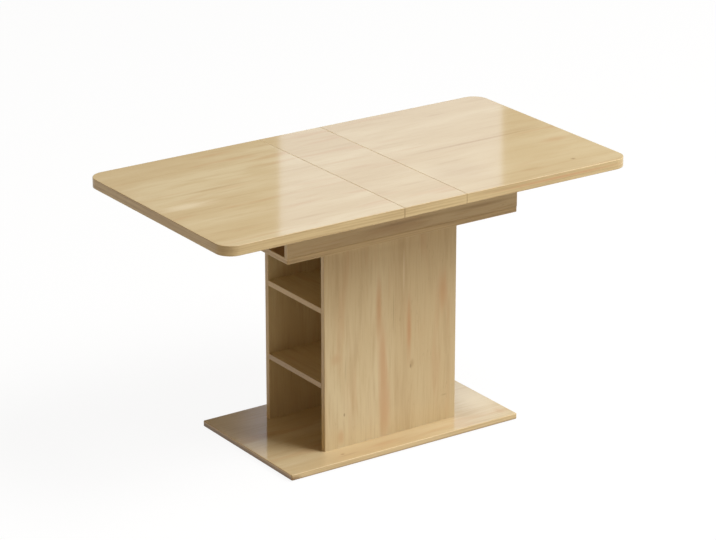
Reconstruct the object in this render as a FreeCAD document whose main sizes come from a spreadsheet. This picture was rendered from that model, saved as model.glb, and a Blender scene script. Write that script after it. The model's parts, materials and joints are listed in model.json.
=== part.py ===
import FreeCAD, Part
import math
import os
import Sketcher

# An extending pedestal dining table in oak-pattern laminated board, with the extra leaf in place.
# +X runs along the table, -Y is its front, +Z is up. The origin is on the floor under the middle.
# A base plate carries a pedestal of two side panels and a divider, with open shelves at both ends.
# On the pedestal stands an apron box, whose rails carry the two halves of the top on ball slides.

doc = FreeCAD.newDocument("extending_table")
sheet = doc.addObject("Spreadsheet::Sheet", "dims")

# Driving dimensions in millimetres, and a few counts.
DIMENSIONS = {
    # Table top, with the leaf in
    "top_length": 1300,
    "top_width": 700,
    "top_thick": 28,
    "top_corner": 45,
    "leaf_width": 200,
    "seam_gap": 0.6,
    "seam_edging": 1,
    "seam_round": 0.5,
    # Boards and the plastic edging glued round them
    "board": 16,
    "edging": 2,
    "edging_round": 1.5,
    "core_corner": 1.5,
    # Base plate and its glides
    "plate_length": 750,
    "plate_width": 450,
    "glide_height": 3,
    "glide_diameter": 24,
    "glide_inset": 30,
    "glide_pin": 4,
    # Pedestal and its shelves
    "pedestal_length": 434,
    "pedestal_width": 292,
    "panel_height": 592,
    "lower_bay": 180,
    "middle_bay": 200,
    # Apron box
    "apron_length": 746,
    "apron_width": 420,
    "rail_height": 99,
    "top_lift": 1,
    # Ball slides between the rails and the halves of the top
    "slide_start": 20,
    "slide_inset": 3,
    "slide_headroom": 10.5,
    "slide_height": 45,
    "slide_wall": 1.2,
    "slider_proud": 2.7,
    "channel_lip": 3,
    "race_room": 1.5,
    "ball": 4.5,
    "ball_gap": 0.3,
    "balls_in_row": 6,
    "cage_margin": 45,
    "cage_wall": 0.8,
    # Steel angles that hang the slides under the halves
    "angle_wall": 2,
    "angle_margin": 4.5,
    "angle_width": 30,
    # Joining screws between the boards
    "joint_screw": 7,
    "joint_screw_head": 10,
    "joint_screw_head_height": 3,
    "joint_screw_length": 50,
    "joint_screw_socket": 4,
    "joint_screw_inset": 50,
    # Small screws and rivets of the slides and angles
    "small_screw": 4,
    "small_screw_head": 7.5,
    "small_screw_crown": 5.2,
    "small_screw_head_height": 2,
    "small_screw_socket": 2.5,
    "slide_screw_inset": 15,
    "angle_screw_inset": 40,
    "angle_screw_bite": 14,
    "rivet": 4,
    "rivet_head": 7,
    "rivet_head_height": 1.2,
    "rivet_inset": 25,
    # Dowels and cam fittings of the shelves and the divider
    "dowel": 8,
    "dowel_length": 30,
    "dowel_inset": 40,
    "cam": 15,
    "cam_cover": 3.5,
    "cam_setback": 24,
    "cam_slot_width": 1.5,
    "cam_slot_depth": 2,
    "cam_bolt": 6,
    # Studs that locate the leaf on the rails
    "stud": 8,
    "stud_flange": 14,
    "stud_pin": 10,
    "stud_seat": 14,
    "stud_inset": 40,
    "stud_clearance": 0.5,
    # Room round a fastener in its hole and past its tip, and the board left behind a blind fastener
    "hole_clearance": 0.1,
    "tip_gap": 1,
    "blind_cover": 4,
}

for row, (alias, value) in enumerate(DIMENSIONS.items(), start=1):
    sheet.set(f"A{row}", alias)
    sheet.set(f"B{row}", str(value))
    sheet.setAlias(f"B{row}", alias)
doc.recompute()

# Levels from the floor up
PLATE_TOP = "(dims.glide_height + dims.board)"
LOWER_SHELF = f"({PLATE_TOP} + dims.lower_bay)"
UPPER_SHELF = f"({LOWER_SHELF} + dims.board + dims.middle_bay)"
PANEL_TOP = f"({PLATE_TOP} + dims.panel_height)"
APRON_FLOOR = f"({PANEL_TOP} + dims.board)"
RAIL_TOP = f"({APRON_FLOOR} + dims.rail_height)"
TOP_UNDERSIDE = f"({RAIL_TOP} + dims.top_lift)"
TOP_SURFACE = f"({TOP_UNDERSIDE} + dims.top_thick)"
SLIDE_MIDDLE = f"({TOP_UNDERSIDE} - dims.slide_headroom - dims.slide_height / 2)"
ANGLE_FOOT = f"({TOP_UNDERSIDE} - dims.slide_headroom - dims.slide_height - dims.angle_margin)"

# Distances from the middle of the table, the same on both sides
PANEL_INSIDE = "(dims.pedestal_width / 2 - dims.board)"
PANEL_MIDDLE = "(dims.pedestal_width / 2 - dims.board / 2)"
RAIL_INSIDE = "(dims.apron_width / 2 - dims.board)"
RAIL_MIDDLE = "(dims.apron_width / 2 - dims.board / 2)"
PEDESTAL_END = "(dims.pedestal_length / 2)"
SEAM = "(dims.leaf_width / 2 + dims.seam_gap)"
CHANNEL_OUTER_END = "(dims.apron_length / 2 - dims.slide_inset)"
CHANNEL_INNER_END = "dims.slide_start"
SLIDER_OUTER_END = f"({CHANNEL_OUTER_END} + dims.leaf_width / 2)"
SLIDER_INNER_END = f"({CHANNEL_INNER_END} + dims.leaf_width / 2)"
CAGE_OUTER_END = f"({CHANNEL_OUTER_END} - dims.cage_margin)"
CAGE_INNER_END = f"({SLIDER_INNER_END} + dims.cage_margin)"
STUD_PLACE = "(dims.leaf_width / 2 - dims.stud_inset)"

# Depths of the slide's pieces, measured from the rail's inner face towards the middle of the table
CHANNEL_DEPTH = "(2 * dims.slide_wall + 2 * dims.race_room + dims.ball)"
BALL_DEPTH = f"({CHANNEL_DEPTH} / 2)"
CAGE_BACK = "(dims.slide_wall + dims.ball_gap)"
CAGE_FACE = f"({CAGE_BACK} + dims.cage_wall)"
CAGE_LIP = f"({CHANNEL_DEPTH} - dims.slide_wall - dims.ball_gap)"
SLIDER_BACK = f"({CAGE_FACE} + dims.ball_gap)"
SLIDER_FACE = f"({CHANNEL_DEPTH} + dims.slider_proud)"
SLIDER_WEB = f"({SLIDER_FACE} - dims.slide_wall)"
ANGLE_FACE = f"({SLIDER_FACE} + dims.angle_wall)"
ANGLE_LIP = f"({SLIDER_FACE} + dims.angle_width)"

# Half heights of the slide's pieces about its middle line
CHANNEL_HALF = "(dims.slide_height / 2)"
BALL_RACE = f"({CHANNEL_HALF} - dims.slide_wall)"
BALL_ROW = f"({BALL_RACE} - dims.ball_gap - dims.ball / 2)"
SLIDER_HALF = f"({BALL_RACE} - 2 * dims.ball_gap - dims.ball)"

SIDES = {"left": -1, "right": 1}
RANKS = {"front": -1, "back": 1}
SHELVES = {"lower": LOWER_SHELF, "upper": UPPER_SHELF}

WAYS = {
    "+X": FreeCAD.Vector(1, 0, 0),
    "-X": FreeCAD.Vector(-1, 0, 0),
    "+Y": FreeCAD.Vector(0, 1, 0),
    "-Y": FreeCAD.Vector(0, -1, 0),
    "+Z": FreeCAD.Vector(0, 0, 1),
    "-Z": FreeCAD.Vector(0, 0, -1),
}
UP = WAYS["+Z"]
BLIND_BITE = "(dims.board - dims.blind_cover)"

pieces = []


def number(expression):
    """The present value of an expression on the sheet."""
    return sheet.evalExpression(expression)


def keep(piece):
    """Counts an object as one of the table's own pieces, under its label."""
    pieces.append(piece)
    return piece


def place(item, spot, turn=None):
    """Puts an item's origin at a spot given as three expressions."""
    item.Placement = FreeCAD.Placement(FreeCAD.Vector(), turn or FreeCAD.Rotation())
    for axis, expression in zip("xyz", spot):
        item.setExpression(f"Placement.Base.{axis}", str(expression))


def point_way(way):
    """The turn that makes an upright item point along a way."""
    return FreeCAD.Rotation(UP, WAYS[way])


def both_ways(sign, near, far):
    """The low and high ends of a stretch that lies on one side of the middle."""
    if sign > 0:
        return near, far
    return f"-({far})", f"-({near})"


def about(middle, half):
    """The low and high ends of a stretch about a middle."""
    return f"({middle}) - ({half})", f"({middle}) + ({half})"


def in_from_rail(rank, near, far):
    """The stretch of Y between two depths measured in from a rail's inner face."""
    return both_ways(RANKS[rank], f"{RAIL_INSIDE} - {far}", f"{RAIL_INSIDE} - {near}")


def block(name, along, across, high):
    """A square-edged block between the low and high ends of each axis."""
    item = doc.addObject("Part::Box", name)
    for side, (low, top) in zip(("Length", "Width", "Height"), (along, across, high)):
        item.setExpression(side, f"({top}) - ({low})")
    place(item, (along[0], across[0], high[0]))
    return item


def rod(name, diameter, length, spot=("0", "0", "0"), way="+Z"):
    """A round bar that starts at a spot and runs along a way."""
    item = doc.addObject("Part::Cylinder", name)
    item.setExpression("Radius", f"({diameter}) / 2")
    item.setExpression("Height", length)
    place(item, spot, point_way(way))
    return item


def taper(name, start_diameter, end_diameter, length):
    """An upright cone between two diameters, standing on the origin."""
    item = doc.addObject("Part::Cone", name)
    item.setExpression("Radius1", f"({start_diameter}) / 2")
    item.setExpression("Radius2", f"({end_diameter}) / 2")
    item.setExpression("Height", length)
    return item


def cut(name, base, *tools):
    """Takes each tool away from the base in turn."""
    for count, tool in enumerate(tools, start=1):
        result = doc.addObject("Part::Cut", name if count == len(tools) else f"{name}_cut_{count}")
        result.Base = base
        result.Tool = tool
        base = result
    return base


def fuse(name, *members):
    """Joins overlapping shapes into one."""
    result = doc.addObject("Part::MultiFuse", name)
    result.Shapes = list(members)
    return result


def common(name, base, tool):
    """Keeps what two shapes share."""
    result = doc.addObject("Part::Common", name)
    result.Base = base
    result.Tool = tool
    return result


def group(name, *members):
    """Gathers separate solids under one name."""
    result = doc.addObject("Part::Compound", name)
    result.Links = list(members)
    return result


def copies(name, item, spots):
    """Gathers copies of one item, each at a spot and pointing along a way."""
    links = []
    for count, (spot, way) in enumerate(spots, start=1):
        link = doc.addObject("App::Link", f"{name}_copy_{count}")
        link.LinkedObject = item
        place(link, spot, point_way(way))
        links.append(link)
    return group(name, *links)


def origin_plane(body, role):
    """One of a body's own origin planes."""
    return next(plane for plane in body.Origin.OriginFeatures if plane.Role == role)


def new_sketch(body, name):
    """A sketch on a body's own ground plane."""
    sketch = body.newObject("Sketcher::SketchObject", name)
    sketch.AttachmentSupport = [(origin_plane(body, "XY_Plane"), "")]
    sketch.MapMode = "FlatFace"
    return sketch


def limit(sketch, expression, kind, *where):
    """Adds a sketch dimension whose value follows an expression."""
    index = sketch.addConstraint(Sketcher.Constraint(kind, *where, number(expression)))
    sketch.setExpression(f"Constraints[{index}]", expression)


def corner_arc(centre, radius, start, end):
    """An arc about a centre between two angles in quarter turns."""
    circle = Part.Circle(FreeCAD.Vector(*centre, 0), UP, radius)
    return Part.ArcOfCircle(circle, start * math.pi / 2, end * math.pi / 2)


def round_rectangle(sketch, length, width, corner):
    """Draws a rectangle with round corners about a sketch's origin."""
    x, y, r = number(length) / 2, number(width) / 2, number(corner)
    first = sketch.GeometryCount
    runs = (
        ((r - x, -y), (x - r, -y)),
        ((x, r - y), (x, y - r)),
        ((x - r, y), (r - x, y)),
        ((-x, y - r), (-x, r - y)),
    )
    arcs = (((x - r, r - y), 3), ((x - r, y - r), 0), ((r - x, y - r), 1), ((r - x, r - y), 2))
    for (start, end), (centre, turn) in zip(runs, arcs):
        sketch.addGeometry(Part.LineSegment(FreeCAD.Vector(*start, 0), FreeCAD.Vector(*end, 0)))
        sketch.addGeometry(corner_arc(centre, r, turn, turn + 1))
    lines = [first, first + 2, first + 4, first + 6]
    rounds = [line + 1 for line in lines]
    following = lines[1:] + lines[:1]
    for line, arc, next_line in zip(lines, rounds, following):
        sketch.addConstraint(Sketcher.Constraint("Tangent", line, 2, arc, 1))
        sketch.addConstraint(Sketcher.Constraint("Tangent", arc, 2, next_line, 1))
    for line, level in zip(lines, ("Horizontal", "Vertical", "Horizontal", "Vertical")):
        sketch.addConstraint(Sketcher.Constraint(level, line))
    for arc in rounds[1:]:
        sketch.addConstraint(Sketcher.Constraint("Equal", rounds[0], arc))
    limit(sketch, corner, "Radius", rounds[0])
    limit(sketch, f"({width}) / 2", "DistanceY", lines[0], 1, -1, 1)
    limit(sketch, f"({length}) / 2", "DistanceX", -1, 1, lines[1], 1)
    limit(sketch, f"({width}) / 2", "DistanceY", -1, 1, lines[2], 1)
    limit(sketch, f"({length}) / 2", "DistanceX", lines[3], 1, -1, 1)


def slab(name, length, width, corner, thick, base):
    """A board with round corners, standing on a level."""
    body = doc.addObject("PartDesign::Body", name)
    sketch = new_sketch(body, f"{name}_outline")
    round_rectangle(sketch, length, width, corner)
    pad = body.newObject("PartDesign::Pad", f"{name}_pad")
    pad.Profile = sketch
    pad.setExpression("Length", thick)
    place(body, ("0", "0", base))
    return body


def inside_edging(size):
    """A board's length or width without the edging at both ends."""
    return f"({size} - 2 * dims.edging)"


def edging_ring(name, length, width, corner, thick, base):
    """The edging right round a board, with its outer edges rounded over."""
    body = doc.addObject("PartDesign::Body", name)
    sketch = new_sketch(body, f"{name}_outline")
    round_rectangle(sketch, length, width, corner)
    round_rectangle(sketch, inside_edging(length), inside_edging(width), f"{corner} - dims.edging")
    pad = body.newObject("PartDesign::Pad", f"{name}_pad")
    pad.Profile = sketch
    pad.setExpression("Length", thick)
    doc.recompute()
    fillet = body.newObject("PartDesign::Fillet", f"{name}_rounding")
    fillet.Base = (pad, outer_edges(pad.Shape, number(length) / 2, number(width) / 2))
    fillet.setExpression("Radius", "dims.edging_round")
    place(body, ("0", "0", base))
    return body


def outer_edges(shape, reach_x, reach_y):
    """The names of a ring's level edges that lie on its outer wall."""
    near = 1e-4
    names = []
    for index, edge in enumerate(shape.Edges, start=1):
        corners = [vertex.Point for vertex in edge.Vertexes]
        outside = all(reach_x - abs(p.x) < near or reach_y - abs(p.y) < near for p in corners)
        if outside and abs(corners[0].z - corners[-1].z) < near:
            names.append(f"Edge{index}")
    return names


def edging_strip(name, thick, rounding, width, length, spot, turn):
    """A straight strip of edging: its back on the origin plane, its two outer edges rounded."""
    body = doc.addObject("PartDesign::Body", name)
    sketch = new_sketch(body, f"{name}_section")
    t, r, w = number(thick), number(rounding), number(width)
    runs = (((0, 0), (t - r, 0)), ((t, r), (t, w - r)), ((t - r, w), (0, w)), ((0, w), (0, 0)))
    for start, end in runs:
        sketch.addGeometry(Part.LineSegment(FreeCAD.Vector(*start, 0), FreeCAD.Vector(*end, 0)))
    lower, upper = 4, 5
    sketch.addGeometry(corner_arc((t - r, r), r, 3, 4))
    sketch.addGeometry(corner_arc((t - r, w - r), r, 0, 1))
    for line, arc, following in ((0, lower, 1), (1, upper, 2)):
        sketch.addConstraint(Sketcher.Constraint("Tangent", line, 2, arc, 1))
        sketch.addConstraint(Sketcher.Constraint("Tangent", arc, 2, following, 1))
    sketch.addConstraint(Sketcher.Constraint("Coincident", 2, 2, 3, 1))
    sketch.addConstraint(Sketcher.Constraint("Coincident", 3, 2, 0, 1))
    for line, level in enumerate(("Horizontal", "Vertical", "Horizontal", "Vertical")):
        sketch.addConstraint(Sketcher.Constraint(level, line))
    sketch.addConstraint(Sketcher.Constraint("Coincident", 0, 1, -1, 1))
    sketch.addConstraint(Sketcher.Constraint("Equal", lower, upper))
    limit(sketch, rounding, "Radius", lower)
    limit(sketch, thick, "DistanceX", -1, 1, 1, 1)
    limit(sketch, width, "DistanceY", -1, 1, 2, 2)
    pad = body.newObject("PartDesign::Pad", f"{name}_pad")
    pad.Profile = sketch
    pad.setExpression("Length", length)
    place(body, spot, turn)
    return body


def screw(name, head_start, head_end, head_height, shank, length, socket):
    """A screw that stands on its head, with a hexagon socket in the head."""
    head = taper(f"{name}_head", head_start, head_end, head_height)
    stem = rod(f"{name}_stem", shank, length)
    solid = fuse(f"{name}_solid", head, stem)
    key = doc.addObject("Part::Prism", f"{name}_key")
    key.Polygon = 6
    key.setExpression("Circumradius", f"({socket}) / 2 / cos(30)")
    key.setExpression("Height", head_height)
    return cut(name, solid, key)


def roomy(size):
    """A diameter with the clearance of a fastener's hole on both sides."""
    return f"({size} + 2 * dims.hole_clearance)"


# Joining screws: countersunk, flush with the face they enter, with the hole that takes one.
joint_screw = screw(
    "joint_screw", "dims.joint_screw_head", "dims.joint_screw", "dims.joint_screw_head_height",
    "dims.joint_screw", "dims.joint_screw_length", "dims.joint_screw_socket",
)
joint_hole = fuse(
    "joint_hole",
    taper(
        "joint_hole_mouth", roomy("dims.joint_screw_head"), roomy("dims.joint_screw"),
        "dims.joint_screw_head_height",
    ),
    rod("joint_hole_bore", roomy("dims.joint_screw"), "dims.joint_screw_length + dims.tip_gap"),
)

# Places of the joining screws along a panel or rail, and across the divider
FOUR_EVENLY = ("-1", "-1 / 3", "1 / 3", "1")
PANEL_SCREWS = [f"{share} * ({PEDESTAL_END} - dims.joint_screw_inset)" for share in FOUR_EVENLY]
RAIL_SCREWS = [f"{share} * (dims.apron_length / 2 - dims.joint_screw_inset)" for share in FOUR_EVENLY]
DIVIDER_SCREWS = (f"{PANEL_INSIDE} / 2", f"-{PANEL_INSIDE} / 2")


def pedestal_screw_spots(level, way):
    """Where screws enter the ends of the side panels and the divider."""
    spots = []
    for sign in RANKS.values():
        spots += [((x, f"{sign} * {PANEL_MIDDLE}", level), way) for x in PANEL_SCREWS]
    spots += [(("0", y, level), way) for y in DIVIDER_SCREWS]
    return spots


base_screw_spots = pedestal_screw_spots("dims.glide_height", "+Z")
apron_screw_spots = pedestal_screw_spots(APRON_FLOOR, "-Z")
rail_screw_spots = [
    ((x, f"{sign} * {RAIL_MIDDLE}", PANEL_TOP), "+Z") for sign in RANKS.values() for x in RAIL_SCREWS
]
base_holes = copies("base_holes", joint_hole, base_screw_spots)
apron_holes = copies("apron_holes", joint_hole, apron_screw_spots)
rail_holes = copies("rail_holes", joint_hole, rail_screw_spots)
keep(copies("base_screws", joint_screw, base_screw_spots))
keep(copies("apron_screws", joint_screw, apron_screw_spots))
keep(copies("rail_screws", joint_screw, rail_screw_spots))

# Base plate on six plastic glides, each pressed in by its own pin.
GLIDE_X = "(dims.plate_length / 2 - dims.glide_inset)"
GLIDE_Y = "(dims.plate_width / 2 - dims.glide_inset)"
glide_spots = [
    ((f"{end} * {GLIDE_X}", f"{sign} * {GLIDE_Y}", "0"), "+Z")
    for end in (-1, 0, 1) for sign in RANKS.values()
]
glide_reach = f"dims.glide_height + {BLIND_BITE}"
glide = fuse(
    "glide",
    rod("glide_foot", "dims.glide_diameter", "dims.glide_height"),
    rod("glide_pin_rod", "dims.glide_pin", glide_reach),
)
glide_hole = rod("glide_hole", roomy("dims.glide_pin"), f"{glide_reach} + dims.tip_gap")
keep(copies("floor_glides", glide, glide_spots))

ROUND_CORNER = "(dims.core_corner + dims.edging)"


def board_core(name, length, width, base):
    """The core of a level board, inside its edging."""
    return slab(name, inside_edging(length), inside_edging(width), "dims.core_corner", "dims.board", base)


plate_core = board_core("base_plate_core", "dims.plate_length", "dims.plate_width", "dims.glide_height")
keep(cut("base_plate", plate_core, base_holes, copies("glide_holes", glide_hole, glide_spots)))
keep(edging_ring(
    "base_plate_edging", "dims.plate_length", "dims.plate_width", ROUND_CORNER, "dims.board",
    "dims.glide_height",
))

# Dowels and cam fittings: each shelf end has two dowels with one cam between them.
SHELF_OUT = f"({PEDESTAL_END} - dims.edging)"
SHELF_IN = "(dims.board / 2)"
SHELF_MIDDLE = f"(({PEDESTAL_END} + {SHELF_IN}) / 2)"
SHELF_DOWELS = (f"({SHELF_IN} + dims.dowel_inset)", f"({PEDESTAL_END} - dims.dowel_inset)")
INWARD = {"front": "+Y", "back": "-Y"}
OUTWARD = {"front": "-Y", "back": "+Y"}

dowel = rod("dowel_rod", "dims.dowel", "dims.dowel_length")
dowel_hole = rod("dowel_hole", roomy("dims.dowel"), "dims.dowel_length + 2 * dims.tip_gap")
cam_bolt = rod("cam_bolt_rod", "dims.cam_bolt", f"{BLIND_BITE} + dims.cam_setback")
cam_bolt_hole = rod(
    "cam_bolt_hole", roomy("dims.cam_bolt"), f"{BLIND_BITE} + dims.cam_setback + 2 * dims.tip_gap"
)
cam = cut(
    "cam_housing",
    rod("cam_barrel", "dims.cam", "dims.board - dims.cam_cover"),
    block(
        "cam_slot", about("0", "dims.cam_slot_width / 2"), about("0", "dims.cam / 2"),
        ("0", "dims.cam_slot_depth"),
    ),
    rod("cam_eye", roomy("dims.cam_bolt"), "2 * dims.cam", ("0", "-dims.cam", "dims.board / 2"), "+Y"),
)
cam_hole = rod("cam_hole", roomy("dims.cam"), "dims.board - dims.cam_cover + dims.tip_gap")

shelf_places = [
    (sign, f"{level} + dims.board / 2") for sign in SIDES.values() for level in SHELVES.values()
]
dowel_places = [(f"{sign} * {x}", z) for sign, z in shelf_places for x in SHELF_DOWELS]
bolt_places = [(f"{sign} * {SHELF_MIDDLE}", z) for sign, z in shelf_places]
divider_places = [
    ("0", f"({PLATE_TOP} + dims.lower_bay / 2)"),
    ("0", f"({LOWER_SHELF} + dims.board + dims.middle_bay / 2)"),
    ("0", f"(({UPPER_SHELF} + dims.board + {PANEL_TOP}) / 2)"),
]


def from_panels(name, item, places, bite):
    """Copies of a rod that run inwards out of both side panels, at places given as X and Z."""
    spots = []
    for rank, way in INWARD.items():
        y = f"{RANKS[rank]} * ({PANEL_INSIDE} + {bite})"
        spots += [((x, y, z), way) for x, z in places]
    return copies(name, item, spots)


HOLE_BITE = f"({BLIND_BITE} + dims.tip_gap)"
keep(from_panels("shelf_dowels", dowel, dowel_places, BLIND_BITE))
keep(from_panels("divider_dowels", dowel, divider_places, BLIND_BITE))
keep(from_panels("shelf_cam_bolts", cam_bolt, bolt_places, BLIND_BITE))
shelf_dowel_holes = from_panels("shelf_dowel_holes", dowel_hole, dowel_places, HOLE_BITE)
divider_dowel_holes = from_panels("divider_dowel_holes", dowel_hole, divider_places, HOLE_BITE)
cam_bolt_holes = from_panels("cam_bolt_holes", cam_bolt_hole, bolt_places, HOLE_BITE)
cam_spots = [
    ((f"{sign} * {SHELF_MIDDLE}", f"{rank} * ({PANEL_INSIDE} - dims.cam_setback)", level), "+Z")
    for sign in SIDES.values() for level in SHELVES.values() for rank in RANKS.values()
]
keep(copies("shelf_cams", cam, cam_spots))
cam_holes = copies("cam_holes", cam_hole, cam_spots)

# Side panels: upright boards with edging on their two upright edges.
HALF_TURN = FreeCAD.Rotation(UP, 180)
UPRIGHT = {1: FreeCAD.Rotation(), -1: HALF_TURN}
for rank, sign in RANKS.items():
    panel_blank = block(
        f"{rank}_panel_blank", about("0", SHELF_OUT),
        both_ways(sign, PANEL_INSIDE, "dims.pedestal_width / 2"), (PLATE_TOP, PANEL_TOP),
    )
    keep(cut(
        f"{rank}_panel", panel_blank,
        base_holes, apron_holes, shelf_dowel_holes, divider_dowel_holes, cam_bolt_holes,
    ))
    strips = []
    for side, end in SIDES.items():
        strip_y = f"{sign} * {PANEL_MIDDLE} - {end} * dims.board / 2"
        strips.append(edging_strip(
            f"{rank}_panel_{side}_strip", "dims.edging", "dims.edging_round", "dims.board",
            "dims.panel_height",
            (f"{end} * {SHELF_OUT}", strip_y, PLATE_TOP), UPRIGHT[end],
        ))
    keep(group(f"{rank}_panel_edging", *strips))

# Divider across the middle of the pedestal, and the shelves on both sides of it.
divider_blank = block(
    "centre_divider_blank", about("0", SHELF_IN), about("0", PANEL_INSIDE), (PLATE_TOP, PANEL_TOP)
)
keep(cut("centre_divider", divider_blank, base_holes, apron_holes, divider_dowel_holes))

# A strip laid along Y: its width stands upright and its back faces the board's end.
LYING = FreeCAD.Rotation(WAYS["+X"], -90)
LAID = {1: LYING, -1: HALF_TURN.multiply(LYING)}
for side, sign in SIDES.items():
    for height, level in SHELVES.items():
        name = f"{side}_{height}_shelf"
        shelf_blank = block(
            f"{name}_blank", both_ways(sign, SHELF_IN, SHELF_OUT), about("0", PANEL_INSIDE),
            (level, f"{level} + dims.board"),
        )
        keep(cut(name, shelf_blank, shelf_dowel_holes, cam_bolt_holes, cam_holes))
        keep(edging_strip(
            f"{name}_edging", "dims.edging", "dims.edging_round", "dims.board", f"2 * {PANEL_INSIDE}",
            (f"{sign} * {SHELF_OUT}", f"{-sign} * {PANEL_INSIDE}", f"{level} + dims.board"), LAID[sign],
        ))

# Apron box: a level bottom board and two rails along its long sides, open at both ends.
apron_core = board_core("apron_bottom_core", "dims.apron_length", "dims.apron_width", PANEL_TOP)
keep(cut("apron_bottom", apron_core, apron_holes, rail_holes))
keep(edging_ring(
    "apron_bottom_edging", "dims.apron_length", "dims.apron_width", ROUND_CORNER, "dims.board", PANEL_TOP
))



def stud_spots(level):
    """Where the leaf's studs stand over the rails, starting at a level."""
    return [
        ((f"{end} * {STUD_PLACE}", f"{sign} * {RAIL_MIDDLE}", level), "+Z")
        for end in SIDES.values() for sign in RANKS.values()
    ]


stud_socket = rod("stud_socket", "dims.stud + 2 * dims.stud_clearance", "dims.stud_pin + dims.tip_gap")
stud_sockets = copies("stud_sockets", stud_socket, stud_spots(f"{RAIL_TOP} - dims.stud_pin - dims.tip_gap"))


def small_screw_and_hole(name, metal, bite):
    """A dome-headed screw through a thickness of metal into a board, and the hole that takes it."""
    length = f"(dims.small_screw_head_height + {metal} + {bite})"
    fastener = screw(
        name, "dims.small_screw_crown", "dims.small_screw_head", "dims.small_screw_head_height",
        "dims.small_screw", length, "dims.small_screw_socket",
    )
    hole = rod(f"{name}_hole", roomy("dims.small_screw"), f"{length} + dims.tip_gap")
    return fastener, hole


slide_screw, slide_hole = small_screw_and_hole("slide_screw", "dims.slide_wall", BLIND_BITE)
angle_screw, angle_hole = small_screw_and_hole("angle_screw", "dims.angle_wall", "dims.angle_screw_bite")

slide_screw_spots = []
slide_screw_places = (
    f"{CHANNEL_INNER_END} + dims.slide_screw_inset",
    f"{CHANNEL_OUTER_END} - dims.slide_screw_inset",
)
for sign in SIDES.values():
    for rank, way in OUTWARD.items():
        screw_y = f"{RANKS[rank]} * ({RAIL_INSIDE} - dims.slide_wall - dims.small_screw_head_height)"
        for x in slide_screw_places:
            slide_screw_spots.append(((f"{sign} * ({x})", screw_y, SLIDE_MIDDLE), way))
keep(copies("slide_screws", slide_screw, slide_screw_spots))
slide_screw_holes = copies("slide_screw_holes", slide_hole, slide_screw_spots)

for rank, sign in RANKS.items():
    rail_blank = block(
        f"{rank}_rail_blank", about("0", "dims.apron_length / 2 - dims.edging"),
        both_ways(sign, RAIL_INSIDE, "dims.apron_width / 2"), (APRON_FLOOR, RAIL_TOP),
    )
    keep(cut(f"{rank}_rail", rail_blank, rail_holes, slide_screw_holes, stud_sockets))
    strips = []
    for side, end in SIDES.items():
        strips.append(edging_strip(
            f"{rank}_rail_{side}_strip", "dims.edging", "dims.edging_round", "dims.board",
            "dims.rail_height",
            (
                f"{end} * (dims.apron_length / 2 - dims.edging)",
                f"{sign} * {RAIL_MIDDLE} - {end} * dims.board / 2",
                APRON_FLOOR,
            ),
            UPRIGHT[end],
        ))
    keep(group(f"{rank}_rail_edging", *strips))

# Ball slides: a lipped channel on the rail, a slider on the angle, and a cage of balls between them.
rivet_length = "dims.slide_wall + dims.angle_wall + 2 * dims.rivet_head_height"
rivet = fuse(
    "rivet_solid",
    rod("rivet_stem", "dims.rivet", rivet_length),
    rod("rivet_near_head", "dims.rivet_head", "dims.rivet_head_height"),
    rod(
        "rivet_far_head", "dims.rivet_head", "dims.rivet_head_height",
        ("0", "0", "dims.slide_wall + dims.angle_wall + dims.rivet_head_height"),
    ),
)
rivet_hole = rod("rivet_hole", roomy("dims.rivet"), rivet_length)
ball = doc.addObject("Part::Sphere", "slide_ball")
ball.setExpression("Radius", "dims.ball / 2")


def make_channel(side, rank, holes):
    """The slide's outer member, screwed to the inside of a rail."""
    name = f"{side}_{rank}_channel"
    along = both_ways(SIDES[side], CHANNEL_INNER_END, CHANNEL_OUTER_END)
    outside = block(
        f"{name}_outside", along, in_from_rail(rank, "0", CHANNEL_DEPTH), about(SLIDE_MIDDLE, CHANNEL_HALF)
    )
    race = block(
        f"{name}_race", along,
        in_from_rail(rank, "dims.slide_wall", f"({CHANNEL_DEPTH} - dims.slide_wall)"),
        about(SLIDE_MIDDLE, BALL_RACE),
    )
    mouth = block(
        f"{name}_mouth", along, in_from_rail(rank, "dims.slide_wall", CHANNEL_DEPTH),
        about(SLIDE_MIDDLE, f"{BALL_RACE} - dims.channel_lip"),
    )
    keep(cut(name, outside, race, mouth, holes))


def make_slider(side, rank, holes):
    """The slide's inner member, riveted to an angle under the top."""
    name = f"{side}_{rank}_slider"
    along = both_ways(SIDES[side], SLIDER_INNER_END, SLIDER_OUTER_END)
    outside = block(
        f"{name}_outside", along, in_from_rail(rank, SLIDER_BACK, SLIDER_FACE),
        about(SLIDE_MIDDLE, SLIDER_HALF),
    )
    hollow = block(
        f"{name}_hollow", along, in_from_rail(rank, SLIDER_BACK, SLIDER_WEB),
        about(SLIDE_MIDDLE, f"{SLIDER_HALF} - dims.slide_wall"),
    )
    keep(cut(name, outside, hollow, holes))


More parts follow.
